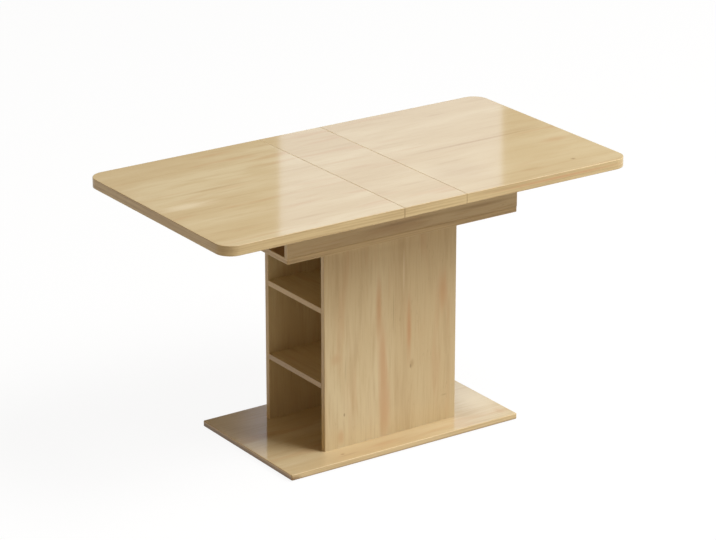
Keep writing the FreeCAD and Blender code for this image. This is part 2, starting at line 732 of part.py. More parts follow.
def make_cage(side, rank):
    """The cage that spaces the balls of one slide, with its two rows of balls."""
    name = f"{side}_{rank}_ball_cage"
    along = both_ways(SIDES[side], CAGE_INNER_END, CAGE_OUTER_END)
    outside = block(
        f"{name}_outside", along, in_from_rail(rank, CAGE_BACK, CAGE_LIP),
        about(SLIDE_MIDDLE, f"{BALL_ROW} + dims.cage_wall / 2"),
    )
    hollow = block(
        f"{name}_hollow", along, in_from_rail(rank, CAGE_FACE, CAGE_LIP),
        about(SLIDE_MIDDLE, f"{BALL_ROW} - dims.cage_wall / 2"),
    )
    count = round(number("dims.balls_in_row"))
    ball_y = f"{RANKS[rank]} * ({RAIL_INSIDE} - {BALL_DEPTH})"
    row_spots = []
    for step in range(count):
        share = f"(({step} + 0.5) / {count})"
        x = f"{SIDES[side]} * ({CAGE_INNER_END} + ({CAGE_OUTER_END} - {CAGE_INNER_END}) * {share})"
        row_spots.append((x, ball_y))
    eye = rod(f"{name}_eye", "dims.ball + 2 * dims.ball_gap", "dims.slide_height")
    eyes = copies(
        f"{name}_eyes", eye, [((x, y, f"{SLIDE_MIDDLE} - {CHANNEL_HALF}"), "+Z") for x, y in row_spots]
    )
    frame = cut(f"{name}_frame", outside, hollow, eyes)
    ball_spots = [
        ((x, y, f"{SLIDE_MIDDLE} + {row} * {BALL_ROW}"), "+Z") for row in (-1, 1) for x, y in row_spots
    ]
    keep(group(name, frame, copies(f"{name}_balls", ball, ball_spots)))


def make_angle(side, rank, holes):
    """The steel angle that hangs a slider under a half of the top."""
    name = f"{side}_{rank}_angle"
    along = both_ways(SIDES[side], SLIDER_INNER_END, SLIDER_OUTER_END)
    upright = block(
        f"{name}_upright", along, in_from_rail(rank, SLIDER_FACE, ANGLE_FACE), (ANGLE_FOOT, TOP_UNDERSIDE),
    )
    flange = block(
        f"{name}_flange", along, in_from_rail(rank, SLIDER_FACE, ANGLE_LIP),
        (f"{TOP_UNDERSIDE} - dims.angle_wall", TOP_UNDERSIDE),
    )
    keep(cut(name, fuse(f"{name}_solid", upright, flange), *holes))


# The top: one outline with round corners, cut at the two seams into two halves and the leaf.
top_core = slab(
    "top_core", inside_edging("dims.top_length"), inside_edging("dims.top_width"),
    "(dims.top_corner - dims.edging)", "dims.top_thick", TOP_UNDERSIDE,
)
top_ring = edging_ring(
    "top_ring", "dims.top_length", "dims.top_width", "dims.top_corner", "dims.top_thick", TOP_UNDERSIDE
)
TOP_ACROSS = about("0", "dims.top_width / 2")
TOP_HEIGHT = (TOP_UNDERSIDE, TOP_SURFACE)


def seam_strip(name, x, sign):
    """The thin edging on a seam, facing along X to the right for +1 and to the left for -1."""
    reach = "(dims.top_width / 2 - dims.edging)"
    return edging_strip(
        name, "dims.seam_edging", "dims.seam_round", "dims.top_thick", f"2 * {reach}",
        (x, f"{-sign} * {reach}", TOP_SURFACE), LAID[sign],
    )


def make_half(side):
    """One half of the top with its edging, angles, sliders and the fasteners between them."""
    sign = SIDES[side]
    screw_spots = []
    rivet_spots = []
    screw_places = (
        f"{SLIDER_INNER_END} + dims.angle_screw_inset",
        f"({SLIDER_INNER_END} + {SLIDER_OUTER_END}) / 2",
        f"{SLIDER_OUTER_END} - dims.angle_screw_inset",
    )
    rivet_places = (
        f"{SLIDER_INNER_END} + dims.rivet_inset",
        f"({SLIDER_INNER_END} + {SLIDER_OUTER_END}) / 2",
        f"{SLIDER_OUTER_END} - dims.rivet_inset",
    )
    screw_level = f"{TOP_UNDERSIDE} - dims.angle_wall - dims.small_screw_head_height"
    screw_depth = f"(({ANGLE_FACE} + {ANGLE_LIP}) / 2)"
    rivet_depth = f"({SLIDER_WEB} - dims.rivet_head_height)"
    for rank, way in INWARD.items():
        screw_y = f"{RANKS[rank]} * ({RAIL_INSIDE} - {screw_depth})"
        rivet_y = f"{RANKS[rank]} * ({RAIL_INSIDE} - {rivet_depth})"
        screw_spots += [((f"{sign} * ({x})", screw_y, screw_level), "+Z") for x in screw_places]
        rivet_spots += [((f"{sign} * ({x})", rivet_y, SLIDE_MIDDLE), way) for x in rivet_places]
    keep(copies(f"{side}_angle_screws", angle_screw, screw_spots))
    keep(copies(f"{side}_slider_rivets", rivet, rivet_spots))
    screw_holes = copies(f"{side}_angle_screw_holes", angle_hole, screw_spots)
    rivet_holes = copies(f"{side}_rivet_holes", rivet_hole, rivet_spots)
    for rank in RANKS:
        make_slider(side, rank, rivet_holes)
        make_angle(side, rank, (rivet_holes, screw_holes))
    core_room = block(
        f"{side}_core_room", both_ways(sign, f"{SEAM} + dims.seam_edging", "dims.top_length / 2"),
        TOP_ACROSS, TOP_HEIGHT,
    )
    keep(cut(f"{side}_top", common(f"{side}_top_blank", top_core, core_room), screw_holes))
    ring_room = block(
        f"{side}_ring_room", both_ways(sign, SEAM, "dims.top_length / 2"), TOP_ACROSS, TOP_HEIGHT
    )
    keep(group(
        f"{side}_top_edging",
        common(f"{side}_top_band", top_ring, ring_room),
        seam_strip(f"{side}_seam_strip", f"{sign} * ({SEAM} + dims.seam_edging)", -sign),
    ))


for side in SIDES:
    for rank in RANKS:
        make_channel(side, rank, slide_screw_holes)
        make_cage(side, rank)
    make_half(side)

# The leaf: lies on the rails by the collars of four studs, which locate it between the halves.
LEAF_CORE = "(dims.leaf_width / 2 - dims.seam_edging)"
leaf_room = block("leaf_core_room", about("0", LEAF_CORE), TOP_ACROSS, TOP_HEIGHT)
STUD_LENGTH = "(dims.stud_pin + dims.top_lift + dims.stud_seat)"
STUD_FOOT = f"({RAIL_TOP} - dims.stud_pin)"
stud = fuse(
    "stud_solid",
    rod("stud_rod", "dims.stud", STUD_LENGTH),
    rod("stud_collar", "dims.stud_flange", "dims.top_lift", ("0", "0", "dims.stud_pin")),
)
stud_hole = rod("stud_hole", roomy("dims.stud"), f"{STUD_LENGTH} + dims.tip_gap")
stud_holes = copies("stud_holes", stud_hole, stud_spots(STUD_FOOT))
keep(cut("leaf", common("leaf_blank", top_core, leaf_room), stud_holes))
leaf_ring_room = block("leaf_ring_room", about("0", "dims.leaf_width / 2"), TOP_ACROSS, TOP_HEIGHT)
keep(group(
    "leaf_edging",
    common("leaf_bands", top_ring, leaf_ring_room),
    seam_strip("leaf_left_strip", f"-{LEAF_CORE}", -1),
    seam_strip("leaf_right_strip", LEAF_CORE, 1),
))
keep(copies("leaf_studs", stud, stud_spots(STUD_FOOT)))

doc.recompute()

for item in doc.Objects:
    if "Invalid" in item.State or "Error" in item.State:
        raise RuntimeError(f"{item.Label} did not build: {item.State}")
for item in pieces:
    if item.Shape.isNull() or not item.Shape.isValid() or not item.Shape.Solids:
        raise RuntimeError(f"{item.Label} has no sound solid")

os.makedirs("parts", exist_ok=True)
for item in pieces:
    item.Shape.exportStep(f"parts/{item.Label}.step")
    print(f"{item.Label}: {len(item.Shape.Solids)} solids, {item.Shape.Volume / 1000:.1f} cm3")
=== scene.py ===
import json
import math

import bmesh
import bpy
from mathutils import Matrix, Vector

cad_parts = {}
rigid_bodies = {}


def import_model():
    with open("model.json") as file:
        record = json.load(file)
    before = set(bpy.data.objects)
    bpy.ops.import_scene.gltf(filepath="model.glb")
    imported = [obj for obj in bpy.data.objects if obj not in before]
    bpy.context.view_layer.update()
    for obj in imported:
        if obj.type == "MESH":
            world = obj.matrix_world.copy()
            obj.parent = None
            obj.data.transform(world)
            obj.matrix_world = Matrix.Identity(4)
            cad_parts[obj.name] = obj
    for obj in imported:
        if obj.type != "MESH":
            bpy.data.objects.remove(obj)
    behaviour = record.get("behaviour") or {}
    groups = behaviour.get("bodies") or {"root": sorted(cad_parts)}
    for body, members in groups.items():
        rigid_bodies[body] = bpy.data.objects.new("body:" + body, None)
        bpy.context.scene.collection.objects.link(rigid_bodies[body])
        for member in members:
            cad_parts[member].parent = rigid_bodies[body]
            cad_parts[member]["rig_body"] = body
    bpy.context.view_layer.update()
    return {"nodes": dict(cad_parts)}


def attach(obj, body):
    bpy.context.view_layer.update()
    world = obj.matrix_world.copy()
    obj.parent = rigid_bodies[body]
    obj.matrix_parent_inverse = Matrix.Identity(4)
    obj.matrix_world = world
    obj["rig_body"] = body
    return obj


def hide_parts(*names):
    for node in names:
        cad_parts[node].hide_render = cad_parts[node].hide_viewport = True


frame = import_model()

# Floor glides: six grey polypropylene discs that keep the base plate off the floor. Each is moulded
# in one with its pin, and is pressed into a hole in the plate from below.
MM = 0.001
WELD = 0.01 * MM
X_WAY, Y_WAY, Z_WAY = (Vector(row) for row in ((1, 0, 0), (0, 1, 0), (0, 0, 1)))


def linear(colour):
    """An sRGB hex colour as the linear colour that a socket takes."""
    shares = [int(colour[i:i + 2], 16) / 255 for i in (1, 3, 5)]
    return [c / 12.92 if c <= 0.04045 else ((c + 0.055) / 1.055) ** 2.4 for c in shares] + [1.0]


def wire(node, links):
    """Gives each named or numbered input of a node a value, a socket or another node."""
    for key, value in links.items():
        if isinstance(key, int):
            socket = node.inputs[key]
        else:
            socket = next(s for s in node.inputs if s.enabled and s.name == key)
        if isinstance(value, bpy.types.Node):
            value = next(s for s in value.outputs if s.enabled)
        if isinstance(value, bpy.types.NodeSocket):
            node.id_data.links.new(value, socket)
        else:
            socket.default_value = value


def add(tree, kind, links=None, **settings):
    """Adds a node of a kind with its settings and links."""
    node = tree.nodes.new(kind)
    for name, value in settings.items():
        setattr(node, name, value)
    wire(node, links or {})
    return node


def new_finish(name, constants):
    """A material with its tree, shader and coordinates; what is the same all over is on the shader."""
    finish = bpy.data.materials.new(name)
    finish.use_nodes = True
    tree = finish.node_tree
    shader = tree.nodes["Principled BSDF"]
    wire(shader, constants)
    place = add(tree, "ShaderNodeTexCoord").outputs["Object"]
    return finish, tree, shader, place


def speckled(name, constants, speck, fineness, tones, roughness=None, relief=None):
    """A finish whose tone varies with a fine noise, and so do roughness and relief where they are given.

    Speck is the size of the specks along each axis in millimetres, tones are the darkest and palest
    one, roughness is its least and most, and relief is its strength and its depth in millimetres.
    """
    finish, tree, shader, place = new_finish(name, constants)
    spread = add(tree, "ShaderNodeMapping", {"Vector": place, "Scale": [1 / (size * MM) for size in speck]})
    specks = add(tree, "ShaderNodeTexNoise", {"Vector": spread, "Scale": 1.0, "Detail": fineness})
    dark, pale = (linear(tone) for tone in tones)
    tone = add(tree, "ShaderNodeMix", {"Factor": specks, "A": dark, "B": pale}, data_type="RGBA")
    wire(shader, {"Base Color": tone})
    if roughness:
        least, most = roughness
        dullness = add(tree, "ShaderNodeMapRange", {"Value": specks, "To Min": least, "To Max": most})
        wire(shader, {"Roughness": dullness})
    if relief:
        strength, depth = relief
        dents = add(tree, "ShaderNodeBump",
                    {"Height": specks, "Strength": strength, "Distance": depth * MM})
        wire(shader, {"Normal": dents})
    return finish


def turned(name, sizes, profile, around, flutes=None, finishing=None):
    """A tree that turns a profile about Z into a closed piece, and sets one on each spot along its aim.

    A profile row is a radius and a height, each a sum of named sizes, from the middle of the near
    face out and along to the middle of the far end. Flutes names the depth of the grooves along the
    piece, one for every second point around it. Finishing works on the turned mesh.
    """
    tree = bpy.data.node_groups.new(name, "GeometryNodeTree")
    inputs = {"Spots": "Geometry", **{size: "Float" for size in (*sizes, "Spin")}, "Finish": "Material"}
    for word, kind in inputs.items():
        tree.interface.new_socket(word, in_out="INPUT", socket_type=f"NodeSocket{kind}")
    tree.interface.new_socket("Pieces", in_out="OUTPUT", socket_type="NodeSocketGeometry")
    given = add(tree, "NodeGroupInput").outputs

    def total(words):
        """The sum of a line of named sizes, such as Head height + Shank."""
        result = 0.0
        for term in words.replace(" - ", " + -").split(" + "):
            size = 0.0 if term == "0" else given[term.lstrip("-")]
            sign = "SUBTRACT" if term.startswith("-") else "ADD"
            result = add(tree, "ShaderNodeMath", {0: result, 1: size}, operation=sign)
        return result

    # The grid reaches half a unit to each side: its X becomes the angle, and its Y the row's number.
    rows = len(profile)
    grid = add(tree, "GeometryNodeMeshGrid", {"Vertices X": around + 1, "Vertices Y": rows})
    spread = add(tree, "ShaderNodeSeparateXYZ", {0: add(tree, "GeometryNodeInputPosition")}).outputs
    angle = add(tree, "ShaderNodeMath", {0: spread["X"], 1: math.tau}, operation="MULTIPLY")
    row = add(tree, "ShaderNodeMath", {0: spread["Y"], 1: rows - 1, 2: rows / 2}, operation="MULTIPLY_ADD")
    by_row = []
    for lines in zip(*profile):
        switch = add(tree, "GeometryNodeIndexSwitch", {"Index": row}, data_type="FLOAT")
        while len(switch.index_switch_items) < rows:
            switch.index_switch_items.new()
        wire(switch, {item: total(line) for item, line in enumerate(lines, start=1)})
        by_row.append(switch)
    radius, height = by_row
    if flutes:
        column = add(tree, "ShaderNodeMath", {0: spread["X"], 1: around, 2: around / 2 + 0.5},
                     operation="MULTIPLY_ADD")
        column = add(tree, "ShaderNodeMath", {0: column}, operation="FLOOR")
        valley = add(tree, "ShaderNodeMath", {0: column, 1: 2.0}, operation="MODULO")
        groove = add(tree, "ShaderNodeMath", {0: valley, 1: given[flutes]}, operation="MULTIPLY")
        radius = add(tree, "ShaderNodeMath", {0: radius, 1: groove}, operation="SUBTRACT")
        radius = add(tree, "ShaderNodeMath", {0: radius, 1: 0.0}, operation="MAXIMUM")
    ring = add(tree, "ShaderNodeCombineXYZ", {"Z": height})
    for axis, way in (("X", "COSINE"), ("Y", "SINE")):
        share = add(tree, "ShaderNodeMath", {0: angle}, operation=way)
        wire(ring, {axis: add(tree, "ShaderNodeMath", {0: share, 1: radius}, operation="MULTIPLY")})
    piece = add(tree, "GeometryNodeSetPosition", {"Geometry": grid, "Position": ring})
    piece = add(tree, "GeometryNodeMergeByDistance", {"Geometry": piece, "Distance": WELD})
    if finishing:
        piece = finishing(tree, piece, given)

    crease_angle = math.radians(30)
    bend = add(tree, "GeometryNodeInputMeshEdgeAngle")
    crease = add(tree, "FunctionNodeCompare", {0: bend, 1: crease_angle}, operation="GREATER_THAN")
    piece = add(tree, "GeometryNodeSetShadeSmooth", {0: piece, "Shade Smooth": True})
    piece = add(tree, "GeometryNodeSetShadeSmooth",
                {0: piece, "Selection": crease, "Shade Smooth": False}, domain="EDGE")
    aim = add(tree, "GeometryNodeInputNamedAttribute", {"Name": "aim"}, data_type="FLOAT_VECTOR")
    lean = add(tree, "FunctionNodeAlignRotationToVector", {"Vector": aim}, axis="Z")
    chance = add(tree, "FunctionNodeRandomValue", {"Seed": 7})
    spin = add(tree, "ShaderNodeMath", {0: chance.outputs[1], 1: given["Spin"]}, operation="MULTIPLY")
    spin = add(tree, "FunctionNodeAxisAngleToRotation", {"Axis": Z_WAY, "Angle": spin})
    lean = add(tree, "FunctionNodeRotateRotation", {0: lean, 1: spin}, rotation_space="LOCAL")
    copies = add(tree, "GeometryNodeInstanceOnPoints",
                 {"Points": given["Spots"], "Instance": piece, "Rotation": lean})
    copies = add(tree, "GeometryNodeRealizeInstances", {0: copies})
    copies = add(tree, "GeometryNodeSetMaterial", {"Geometry": copies, "Material": given["Finish"]})
    add(tree, "NodeGroupOutput", {0: copies})
    return tree


def solids_of(node):
    """The lowest and highest corner of each separate solid of a CAD node, in a steady order."""
    same_point = 0.001 * MM
    shape = bmesh.new()
    shape.from_mesh(frame["nodes"][node].data)
    bmesh.ops.remove_doubles(shape, verts=shape.verts, dist=same_point)
    unseen = set(shape.verts)
    boxes = []
    while unseen:
        reached = [unseen.pop()]
        for vert in reached:
            near = {edge.other_vert(vert) for edge in vert.link_edges} & unseen
            unseen -= near
            reached += near
        boxes.append([Vector([pick(v.co[i] for v in reached) for i in range(3)]) for pick in (min, max)])
    shape.free()
    return sorted(boxes, key=lambda box: [round(c, 5) for c in box[0]])


def set_out(name, tree, node, way, slot, finish, both_ways=False, spin=0.0, **sizes):
    """One mesh of the copies that stand for a CAD node, each from its solid's near face along the way.

    With both ways, copies on the far side of the table's middle point the other way. Spin is the most
    that chance turns a copy about its own axis, in radians, and the sizes are in millimetres.
    """
    spots, aims = [], []
    for low, high in solids_of(node):
        middle = (low + high) / 2
        aim = -way if both_ways and middle.dot(way) < 0 else way
        aims.append(aim)
        spots.append(middle - aim * abs(aim.dot(high - low)) / 2)
    mesh = bpy.data.meshes.new(name)
    mesh.from_pydata(spots, [], [])
    aim_data = mesh.attributes.new("aim", "FLOAT_VECTOR", "POINT").data
    aim_data.foreach_set("vector", [c for aim in aims for c in aim])
    piece = bpy.data.objects.new(name, mesh)
    bpy.context.scene.collection.objects.link(piece)
    work = piece.modifiers.new("set_out", "NODES")
    work.node_group = tree
    values = {size.replace("_", " ").capitalize(): length * MM for size, length in sizes.items()}
    values.update(Spin=spin, Finish=finish)
    for item in tree.interface.items_tree:
        if item.in_out == "INPUT" and item.name in values:
            work[item.identifier] = values[item.name]
    bpy.context.view_layer.update()
    finished = piece.evaluated_get(bpy.context.evaluated_depsgraph_get())
    piece.data = bpy.data.meshes.new_from_object(finished)
    piece.modifiers.clear()
    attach(piece, frame["nodes"][node]["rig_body"])
    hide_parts(node)


# Polypropylene, moulded: a dull, slightly waxy grey with the grain of a spark-eroded mould. The real
# grain is a few hundredths of a millimetre, and is drawn coarse so that it shows.
mould_grain = 0.4
grey_polypropylene = speckled(
    "moulded_grey_polypropylene", {"IOR": 1.49, "Roughness": 0.5}, speck=(mould_grain,) * 3, fineness=2.0,
    tones=("#4a4a4b", "#5a5a5b"), relief=(0.25, 0.03))
glide_tree = turned(
    "turned_glide",
    ("Disc", "Bevel", "Height", "Pin", "Pin top"),
    (("0", "0"), ("Disc - Bevel - Bevel", "0"), ("Disc", "Bevel"), ("Disc", "Height - Bevel"),
     ("Disc - Bevel", "Height"), ("Pin", "Height"), ("Pin", "Pin top - Bevel"), ("Pin - Bevel", "Pin top"),
     ("0", "Pin top")),
    around=40)
set_out("moulded_floor_glides", glide_tree, "floor_glides", Z_WAY, "grey_plastic", grey_polypropylene,
        disc=12, bevel=0.6, height=3, pin=2, pin_top=15)

# Base plate: 16 mm chipboard faced with oak-printed melamine, its grain along the table. Its edge is
# wrapped in 2 mm plastic edging with rounded arrises, printed to match.
OAK_CREAM = "#e6d8b8"
OAK_PALE = "#d8c8a3"
OAK_HONEY = "#ccb78e"
OAK_TAN = "#b89c73"
OAK_ROSE = "#c59c72"
OAK_DARK = "#8c6f4a"


def marked(tree, place, oak, fibres, marks):
    """The print with single marks on it, whose edges the fibres make ragged.

    A mark is its spot on the table and its reach along each axis in millimetres, its colour and its
    strength. A reach of 0 leaves that axis out.
    """
    raggedness = 0.7
    full_within, gone_beyond = 0.4, 1.35
    for spot, reach, colour, strength in marks:
        away = add(tree, "ShaderNodeVectorMath", {0: place, 1: [c * MM for c in spot]}, operation="SUBTRACT")
        shares = [1 / (c * MM) if c else 0.0 for c in reach]
        away = add(tree, "ShaderNodeVectorMath", {0: away, 1: shares}, operation="MULTIPLY")
        away = add(tree, "ShaderNodeVectorMath", {0: away}, operation="LENGTH").outputs["Value"]
        ragged = add(tree, "ShaderNodeMath", {0: fibres, 1: raggedness, 2: away}, operation="MULTIPLY_ADD")
        near = add(tree, "ShaderNodeMapRange",
                   {"Value": ragged, "From Min": full_within, "From Max": gone_beyond,
                    "To Min": strength, "To Max": 0.0},
                   interpolation_type="SMOOTHSTEP")
        oak = add(tree, "ShaderNodeMix", {"Factor": near, "A": oak, "B": linear(colour)}, data_type="RGBA")
    return oak


def oak_melamine(name, grain, face, cut_from, dullness, emboss, figure, marks=()):
    """Oak-printed melamine pressed on chipboard, cut from its own place on the sheet, in millimetres.

    The print shows soft tan and rosy streaks a few centimetres wide, finer fibre lines, short dark
    pores and single marks. The resin over it is near mirror smooth on the top and the base plate, and
    satin elsewhere. Grain is the axis along the fibres, face the axis across the board, dullness the
    roughness of the face on its positive side, and figure how strongly bands, fibres and pores show.
    """
    finish, tree, shader, place = new_finish(name, {"IOR": 1.5})
    sheet = add(tree, "ShaderNodeMapping", {"Vector": place, "Location": cut_from, "Scale": (1 / MM,) * 3})

    # Length along the grain and width across it in millimetres, and fineness. Real pores are under half
    # a millimetre wide, and fibres finer still, so both are drawn coarse enough to show. The first
    # figure makes the others wander across the grain.
    figures = {
        "wander": (260, 60, 2),
        "drift": (1000, 120, 1),
        "patches": (150, 38, 2),
        "bands": (340, 26, 3),
        "blush": (300, 34, 2),
        "fibres": (110, 4.5, 4),
        "pores": (24, 2.6, 1),
    }
    wander_reach = 10.0
    drawn = {}
    for word, (length, width, fineness) in figures.items():
        steps = [1 / (length if axis == grain else width) for axis in "XYZ"]
        stretched = add(tree, "ShaderNodeVectorMath", {0: sheet, 1: steps}, operation="MULTIPLY")
        drawn[word] = add(tree, "ShaderNodeTexNoise", {"Vector": stretched, "Scale": 1.0, "Detail": fineness})
        if word == "wander":
            sway = add(tree, "ShaderNodeMapRange",
                       {"Value": drawn[word], "To Min": -wander_reach, "To Max": wander_reach})
            sway = add(tree, "ShaderNodeCombineXYZ", {axis: sway for axis in "XYZ" if axis != grain})
            sheet = add(tree, "ShaderNodeVectorMath", {0: sheet, 1: sway}, operation="ADD")

    # Where each figure starts to show and where it is full, how strongly it shows, and its colour.
    layers = {
        "drift": (0.35, 0.65, 0.8, OAK_HONEY),
        "patches": (0.4, 0.7, 0.5, OAK_HONEY),
        "bands": (0.52, 0.76, 0.36 * figure, OAK_TAN),
        "blush": (0.55, 0.74, 0.32, OAK_ROSE),
        "fibres": (0.44, 0.74, 0.26 * figure, OAK_TAN),
    }
    oak = linear(OAK_PALE)
    for word, (start, full, share, colour) in layers.items():
        shown = add(tree, "ShaderNodeMapRange",
                    {"Value": drawn[word], "From Min": start, "From Max": full, "To Max": share},
                    interpolation_type="SMOOTHSTEP")
        oak = add(tree, "ShaderNodeMix", {"Factor": shown, "A": oak, "B": linear(colour)}, data_type="RGBA")
    oak = marked(tree, place, oak, drawn["fibres"], marks)
    clustered = add(tree, "ShaderNodeMapRange",
                    {"Value": drawn["patches"], "From Min": 0.42, "From Max": 0.66},
                    interpolation_type="SMOOTHSTEP")
    pores = add(tree, "ShaderNodeMapRange",
                {"Value": drawn["pores"], "From Min": 0.62, "From Max": 0.76, "To Max": 0.18 * figure},
                interpolation_type="SMOOTHSTEP")
    pores = add(tree, "ShaderNodeMath", {0: pores, 1: clustered}, operation="MULTIPLY")
    oak = add(tree, "ShaderNodeMix", {"Factor": pores, "A": oak, "B": linear(OAK_DARK)}, data_type="RGBA")

    # The board's narrow faces show the chips of the core.
    faced_from = 0.7
    chip_size = 3.5 * MM
    chip_dark, chip_pale = linear("#b99566"), linear("#d9bd8f")
    normal = add(tree, "ShaderNodeNewGeometry").outputs["True Normal"]
    facing = add(tree, "ShaderNodeVectorMath", {0: normal, 1: face}, operation="DOT_PRODUCT").outputs["Value"]
    square = add(tree, "ShaderNodeMath", {0: facing}, operation="ABSOLUTE")
    faced = add(tree, "ShaderNodeMath", {0: square, 1: faced_from}, operation="GREATER_THAN")
    chips = add(tree, "ShaderNodeTexVoronoi", {"Vector": place, "Scale": 1 / chip_size})
    chip_tone = add(tree, "ShaderNodeSeparateXYZ", {0: chips.outputs["Color"]})
    core = add(tree, "ShaderNodeMix", {"Factor": chip_tone, "A": chip_dark, "B": chip_pale},
               data_type="RGBA")

    backing_dullness = 0.4
    resin = add(tree, "ShaderNodeMapRange",
                {"Value": facing, "From Min": -0.1, "From Max": 0.1, "To Min": backing_dullness,
                 "To Max": dullness})
    uneven = add(tree, "ShaderNodeMapRange", {"Value": drawn["fibres"], "To Min": 0.8, "To Max": 1.2})
    relief = add(tree, "ShaderNodeMath", {0: drawn["fibres"], 1: pores}, operation="SUBTRACT")
    wire(shader, {
        "Base Color": add(tree, "ShaderNodeMix", {"Factor": faced, "A": core, "B": oak}, data_type="RGBA"),
        "Roughness": add(tree, "ShaderNodeMath", {0: resin, 1: uneven}, operation="MULTIPLY"),
        "Normal": add(tree, "ShaderNodeBump", {"Height": relief, "Strength": emboss, "Distance": 0.1 * MM}),
    })
    return finish


def oak_edging(name, lines_across, thin, pale, dark, marks=()):
    """Oak-printed ABS edging: fine straight lines along the band, a satin skin and paler arrises, partly wear
    and partly a painted highlight.

    Lines across gives the spacing of the lines along each axis in millimetres; thin is across the band.
    The printed lines are finer than this on a real band, and are drawn coarse so that they show.
    """
    finish, tree, shader, place = new_finish(name, {"IOR": 1.53})
    steps = [1 / (step * MM) for step in lines_across]
    drawn = add(tree, "ShaderNodeVectorMath", {0: place, 1: steps}, operation="MULTIPLY")
    lines = add(tree, "ShaderNodeTexNoise", {"Vector": drawn, "Scale": 1.0, "Detail": 3.0})
    shown = add(tree, "ShaderNodeMapRange",
                {"Value": lines, "From Min": 0.38, "From Max": 0.66, "To Max": 0.7},
                interpolation_type="SMOOTHSTEP")
    band = add(tree, "ShaderNodeMix", {"Factor": shown, "A": linear(pale), "B": linear(dark)},
               data_type="RGBA")
    band = marked(tree, place, band, lines, marks)

    # The rounded arrises are painted paler: partly wear, partly a painted highlight where they catch the
    # light.
    arris_lean, arris_spread = 0.6, 0.35
    highlight_and_wear_share, highlight_and_wear_tone = 0.25, linear("#ddc8a0")
    normal = add(tree, "ShaderNodeNewGeometry").outputs["Normal"]
    lean = add(tree, "ShaderNodeVectorMath", {0: normal, 1: thin}, operation="DOT_PRODUCT").outputs["Value"]
    lean = add(tree, "ShaderNodeMath", {0: lean}, operation="ABSOLUTE")
    arris = add(tree, "ShaderNodeMath", {0: lean, 1: arris_lean, 2: arris_spread}, operation="COMPARE")
    arris_highlight_and_wear = add(tree, "ShaderNodeMath", {0: arris, 1: highlight_and_wear_share}, operation="MULTIPLY")
    wire(shader, {
        "Base Color": add(tree, "ShaderNodeMix", {"Factor": arris_highlight_and_wear, "A": band, "B": highlight_and_wear_tone},
                          data_type="RGBA"),
        "Roughness": add(tree, "ShaderNodeMapRange", {"Value": lines, "To Min": 0.3, "To Max": 0.42}),
        "Normal": add(tree, "ShaderNodeBump", {"Height": lines, "Strength": 0.1, "Distance": 0.1 * MM}),
    })
    return finish


def dress(finish, *nodes):
    """Gives CAD nodes that keep their shape their finish."""
    for node in nodes:
        for slot in frame["nodes"][node].material_slots:
            slot.material = finish


# A knot with its tail at the front left, rosy streaks along the front, a tan drift over the whole front, a
# pale patch at the right end, and a pale patch at the left back that is painted light.
plate_marks_and_painted_light = [
    ((-185, -185, 0), (9, 6, 0), OAK_DARK, 0.8),
    ((-170, -195, 0), (48, 7, 0), OAK_DARK, 0.3),
    ((-45, -187, 0), (65, 15, 0), OAK_ROSE, 0.2),
    ((215, -213, 0), (45, 10, 0), OAK_ROSE, 0.3),
    ((345, -177, 0), (18, 30, 0), OAK_ROSE, 0.6),
    ((335, -60, 0), (110, 200, 0), OAK_CREAM, 0.9),
    ((-80, -200, 0), (380, 80, 0), OAK_TAN, 0.5),
    # Painted light: this pale patch at the left back stands in for light reflected on the plate where the top
    # shades it.
    ((-340, 190, 0), (150, 150, 0), OAK_CREAM, 0.9),
]
dress(oak_melamine("oak_melamine_base_plate", grain="X", face=Z_WAY, cut_from=(310, 0, 0), dullness=0.09,
                   emboss=0.008, figure=1.0, marks=plate_marks_and_painted_light),
      "base_plate")
# The band is darkened along its lower arris, painted shade from the dark gap under the plate with some
# scuffing, and more on the lower part of its left end, painted shade on the side away from the key lamp.
lower_shade_and_scuffs = [((0, 0, 3), (0, 0, 6), OAK_DARK, 0.8), ((-375, 0, 7), (40, 0, 12), OAK_DARK, 0.95)]
dress(oak_edging("oak_printed_abs_plate", lines_across=(300, 300, 6), thin=Z_WAY, pale="#d8c296",
                 dark="#bfa678", marks=lower_shade_and_scuffs),
      "base_plate_edging")

# Joining screws: countersunk steel screws with a hexagon socket, a smooth collar and a coarse thread,
# bright zinc plated. They hold the pedestal to the base plate, the apron box to the pedestal, and the
# rails to the bottom of the box.


def socket_and_thread(tree, piece, given):
    """Cuts the socket into the near face and winds the thread on the core."""
    key = add(tree, "GeometryNodeMeshCylinder",
              {"Vertices": 6, "Radius": given["Socket"], "Depth": given["Key"]})
    piece = add(tree, "GeometryNodeMeshBoolean", {"Mesh 1": piece, "Mesh 2": key},
                operation="DIFFERENCE", solver="EXACT")
    piece = add(tree, "GeometryNodeMergeByDistance", {"Geometry": piece, "Distance": WELD})
    piece = add(tree, "GeometryNodeTriangulate", {"Mesh": piece}, ngon_method="BEAUTY")
    turns = add(tree, "ShaderNodeMath", {0: given["Wound"], 1: given["Pitch"]}, operation="DIVIDE")
    helix = add(tree, "GeometryNodeCurveSpiral",
                {"Resolution": 14, "Rotations": turns, "Start Radius": given["Core"],
                 "End Radius": given["Core"], "Height": given["Wound"]})
    ridge = add(tree, "GeometryNodeCurvePrimitiveCircle", {"Resolution": 3, "Radius": given["Ridge"]})
    thread = add(tree, "GeometryNodeCurveToMesh",
                 {"Curve": helix, "Profile Curve": ridge, "Fill Caps": True})
    lift = add(tree, "ShaderNodeCombineXYZ", {"Z": given["Collar"]})
    thread = add(tree, "GeometryNodeTransform", {"Geometry": thread, "Translation": lift})
    joined = add(tree, "GeometryNodeJoinGeometry", {0: piece})
    wire(joined, {0: thread})
    return joined


